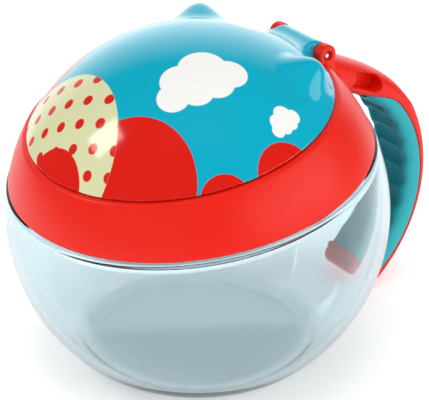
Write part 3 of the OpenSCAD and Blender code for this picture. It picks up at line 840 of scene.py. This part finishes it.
def printed_abs():
    """Teal ABS with a mirror gloss and a slow ripple. The inks lie flat under the same gloss, each
    one in millimetres from the dome's top, and the lid's inner face has none."""
    material, tree, place = new_material("Printed_glossy_ABS")
    ripple = add(tree, "ShaderNodeTexNoise", {"Vector": place, "Scale": per_mm(16), "Detail": 2})
    colour = add(tree, "ShaderNodeMix", {"Factor": ripple.outputs["Fac"], "A": linear("#00A9C4"),
                                         "B": linear("#00AFCA")}, data_type="RGBA").outputs["Result"]
    flat, outside = dome_map(tree, place)
    plain = colour
    far_hills = [inside_circle(tree, flat, around(turn, out), radius)
                 for turn, out, radius in ((-55, 49, 21), (-160, 49, 18))]
    colour = over(tree, any_of(tree, far_hills), colour, "#DC190E")
    dotted_hill = inside_circle(tree, flat, around(-101, 52), 31)
    colour = over(tree, dotted_hill, colour, "#DCDDAE")
    spots = add(tree, "ShaderNodeMath", {0: dots(tree, flat, dot_pitch, dot_r), 1: dotted_hill},
                operation="MULTIPLY")
    colour = over(tree, spots.outputs["Value"], colour, "#D9200F")
    near_hills = [inside_circle(tree, flat, around(turn, near_hill_out), radius)
                  for turn, radius in ((-90, 14), (-22, 9), (2, 11), (167, 12), (140, 10))]
    colour = over(tree, any_of(tree, near_hills), colour, "#DC190E")
    puffs = ((-7.5, -1.5, 4.2), (-3.5, 2.2, 5.2), (3.2, 3.4, 6.2),
             (8.6, -0.6, 4.6), (-1.5, -2.6, 4.4), (4, -2.4, 4.6))
    circles = []
    for turn, out, scale in ((-12, 19, 1.15), (14, 43, 0.5), (98, 32, 0.65), (176, 42, 0.6)):
        turn = math.radians(turn)
        for across, up, radius in puffs:
            far, side = out - up * scale, across * scale
            centre = (far * math.cos(turn) - side * math.sin(turn),
                      far * math.sin(turn) + side * math.cos(turn))
            circles.append(inside_circle(tree, flat, centre, radius * scale))
    colour = over(tree, any_of(tree, circles), colour, "#F7F7F4")
    colour = over(tree, inside_circle(tree, flat, around(142, 27), sun_r), colour, "#8E4030")
    colour = add(tree, "ShaderNodeMix", {"Factor": outside, "A": plain, "B": colour},
                 data_type="RGBA").outputs["Result"]
    wear = add(tree, "ShaderNodeTexNoise", {"Vector": place, "Scale": per_mm(3), "Detail": 4})
    rough = add(tree, "ShaderNodeMapRange", {"Value": wear.outputs["Fac"], "To Min": 0.07, "To Max": 0.15})
    bump = add(tree, "ShaderNodeBump", {"Height": ripple.outputs["Fac"], "Strength": 0.15,
                                        "Distance": 0.1 * MM})
    shader = add(tree, "ShaderNodeBsdfPrincipled", {
        "Base Color": colour, "IOR": 1.5, "Roughness": rough.outputs["Result"],
        "Normal": bump.outputs["Normal"]})
    add(tree, "ShaderNodeOutputMaterial", {"Surface": shader.outputs["BSDF"]})
    return material


lid = skin_over("glossy_lid_dome", lid_shape, *node_room("lid_dome"), fine_cell)
lid.data.materials.append(printed_abs())
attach(lid, "lid")
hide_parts("lid_dome")

# ---------------------------------------------------------------------------------------------
# Floor and surround. White paper that keeps the cup's soft shadow, in a white surround. Gloss
# mirrors a darker surround that turns bright only low down behind the cup, as in a light tent.
# ---------------------------------------------------------------------------------------------
floor_half = 650 * MM
floor_z = -0.02 * MM
floor_mesh = bpy.data.meshes.new("floor")
floor_corners = [(x * floor_half, y * floor_half, floor_z) for x, y in ((-1, -1), (1, -1), (1, 1), (-1, 1))]
floor_mesh.from_pydata(floor_corners, [], [(0, 1, 2, 3)])
floor = bpy.data.objects.new("floor", floor_mesh)
bpy.context.scene.collection.objects.link(floor)
floor_material, tree, place = new_material("White_sweep")
paper = add(tree, "ShaderNodeTexNoise", {"Vector": place, "Scale": per_mm(40), "Detail": 2})
tone = add(tree, "ShaderNodeMix", {"Factor": paper.outputs["Fac"], "A": linear("#FFFFFF"),
                                   "B": linear("#FCFCFC")}, data_type="RGBA")
diffuse = add(tree, "ShaderNodeBsdfPrincipled", {"Base Color": tone.outputs["Result"], "Roughness": 1,
                                                 "Specular IOR Level": 0})
white = add(tree, "ShaderNodeEmission", {"Color": linear("#FFFFFF"), "Strength": 0.35})
both = add(tree, "ShaderNodeAddShader", {0: diffuse.outputs["BSDF"], 1: white.outputs["Emission"]})
add(tree, "ShaderNodeOutputMaterial", {"Surface": both.outputs["Shader"]})
floor_mesh.materials.append(floor_material)

world = bpy.data.worlds.new("White_surround")
bpy.context.scene.world = world
world.use_nodes = True
tree = world.node_tree
tree.nodes.clear()
ray = add(tree, "ShaderNodeLightPath", {})
way = add(tree, "ShaderNodeTexCoord", {}).outputs["Generated"]
behind = add(tree, "ShaderNodeVectorMath", {0: way, 1: (-0.79, 0.60, 0.12)}, operation="DOT_PRODUCT")
mirrored = add(tree, "ShaderNodeMapRange", {"Value": behind.outputs["Value"], "From Min": 0.68,
                                            "From Max": 0.97, "To Min": 0.12, "To Max": 1.9})
level = add(tree, "ShaderNodeMix", {"Factor": ray.outputs["Is Glossy Ray"], "A": 0.5,
                                    "B": mirrored.outputs["Result"]})
seen = add(tree, "ShaderNodeMath", {0: ray.outputs["Is Camera Ray"], 1: ray.outputs["Is Transmission Ray"]},
           operation="MAXIMUM")
level = add(tree, "ShaderNodeMix", {"Factor": seen.outputs["Value"], "A": level.outputs["Result"], "B": 1.0})
surround = add(tree, "ShaderNodeBackground", {"Color": linear("#FFFFFF"),
                                              "Strength": level.outputs["Result"]})
add(tree, "ShaderNodeOutputWorld", {"Surface": surround.outputs["Background"]})

# ---------------------------------------------------------------------------------------------
# Lights. Large soft panels above, in front, on the right and behind light the cup evenly. The
# small one on the left gives the square highlight on the lid, and the right one lights the handle.
# ---------------------------------------------------------------------------------------------
cup_middle = Vector((0, 0, middle[2] * MM))


def panel(name, turn, height, distance, width, depth, power, mirrored=False):
    """A soft rectangular lamp aimed at the cup: turn from the front in degrees, height above level."""
    lamp = bpy.data.lights.new(name, "AREA")
    lamp.shape = "RECTANGLE"
    lamp.size, lamp.size_y = width * MM, depth * MM
    lamp.energy = power
    light = bpy.data.objects.new(name, lamp)
    light.visible_glossy = mirrored
    turn, height = math.radians(turn), math.radians(height)
    away = Vector((math.sin(turn) * math.cos(height), -math.cos(turn) * math.cos(height), math.sin(height)))
    light.location = cup_middle + away * distance * MM
    light.rotation_euler = away.to_track_quat("Z", "Y").to_euler()
    bpy.context.scene.collection.objects.link(light)


panel("top_panel", 52, 80, 700, 500, 500, 1.2)
panel("front_panel", 20, 15, 900, 900, 600, 0.9)
panel("left_panel", -34, 41.5, 900, 230, 260, 1.5, mirrored=True)
panel("right_panel", 118, 18, 900, 1100, 420, 3.1, mirrored=True)
panel("back_panel", -123, 14, 900, 1300, 450, 2.6)

# ---------------------------------------------------------------------------------------------
# Camera. A long lens at a distance, looking down at the cup's front right.
# ---------------------------------------------------------------------------------------------
view_turn, view_height = math.radians(52.539), math.radians(27.144)
view_distance = 699.1
focal_px = 2360.4
picture_w_px = 429
sensor_w = 36
offset_px = (-16.835, 6.59)
back_way = Vector((math.sin(view_turn) * math.cos(view_height), -math.cos(view_turn) * math.cos(view_height),
                   math.sin(view_height)))
right_way = Vector((math.cos(view_turn), math.sin(view_turn), 0))
up_way = back_way.cross(right_way)
camera_data = bpy.data.cameras.new("camera")
camera_data.sensor_width = sensor_w
camera_data.lens = sensor_w * focal_px / picture_w_px
camera_data.clip_start = 0.01
camera = bpy.data.objects.new("camera", camera_data)
bpy.context.scene.collection.objects.link(camera)
spot = cup_middle + (back_way - right_way * offset_px[0] / focal_px
                     + up_way * offset_px[1] / focal_px) * view_distance * MM
camera.matrix_world = Matrix.Translation(spot) @ Matrix((right_way, up_way, back_way)).transposed().to_4x4()
bpy.context.scene.camera = camera

bpy.context.scene.view_settings.view_transform = "Standard"
